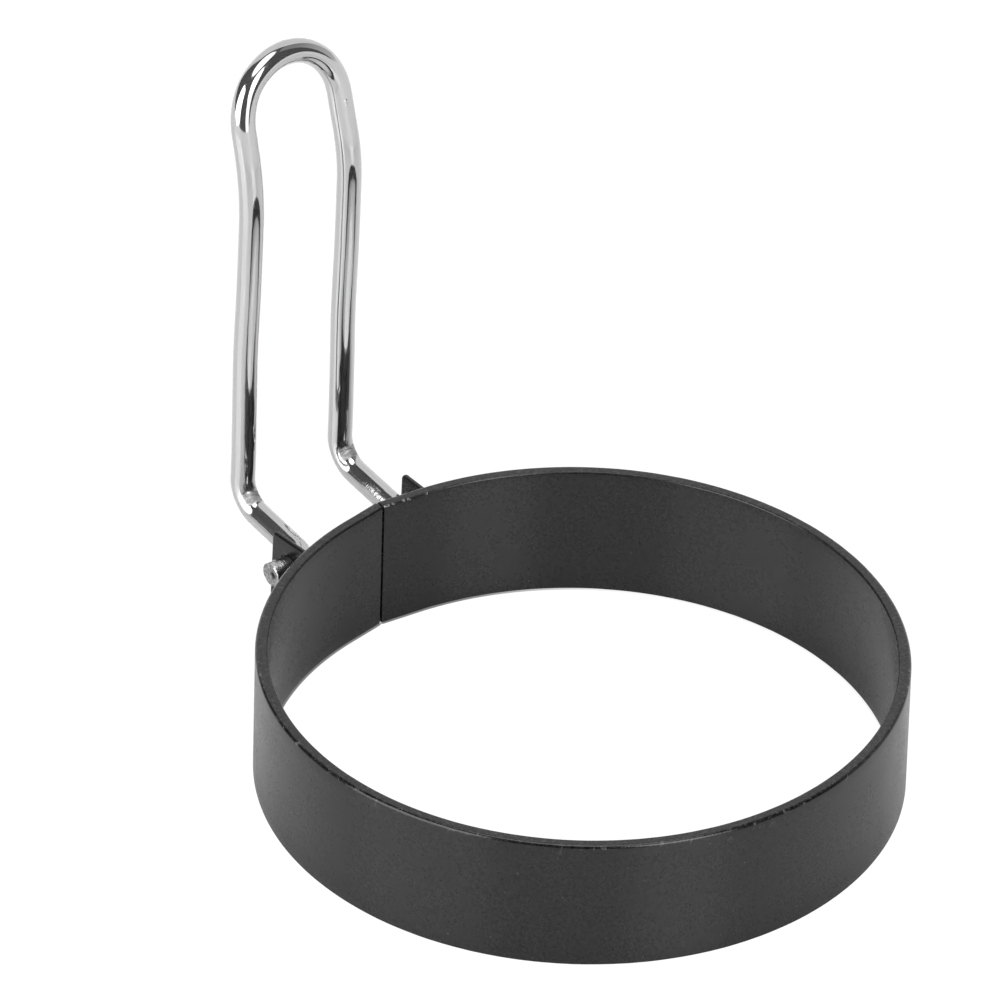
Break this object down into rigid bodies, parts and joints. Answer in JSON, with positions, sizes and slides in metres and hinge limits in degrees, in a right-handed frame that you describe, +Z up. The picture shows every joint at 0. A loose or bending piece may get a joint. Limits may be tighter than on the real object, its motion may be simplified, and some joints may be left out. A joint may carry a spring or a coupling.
{
  "type": "egg ring",
  "caption": "Round coated steel ring for frying eggs, with an upright bent-wire handle that folds over the ring on a hinge bracket.",
  "frame": {"origin": "on the surface the ring stands on, under the middle of the whole object's box in X and Y; the ring's own axis is 12.41 mm behind it, at Y = -0.01241", "axes": "+Z up, +X along the handle's hinge axis, +Y from the ring towards the hinge bracket and the handle"},
  "size_m": [0.09, 0.1148, 0.0841],
  "materials": {
    "coated_band": "satin black non-stick coating with a fine speckle",
    "coated_bracket": "satin black non-stick coating",
    "handle_wire": "bright polished wire with faint drawing lines"
  },
  "bodies": {
    "ring": {"ring_band": "coated_band", "hinge_bracket": "coated_bracket"},
    "handle": {"handle_wire": "handle_wire"}
  },
  "joints": [
    {"name": "handle_fold", "type": "hinge", "parent": "ring", "child": "handle", "pos_m": [0, 0.03729, 0.0114], "axis": [1, 0, 0], "range_deg": [-56, 103.5]}
  ]
}
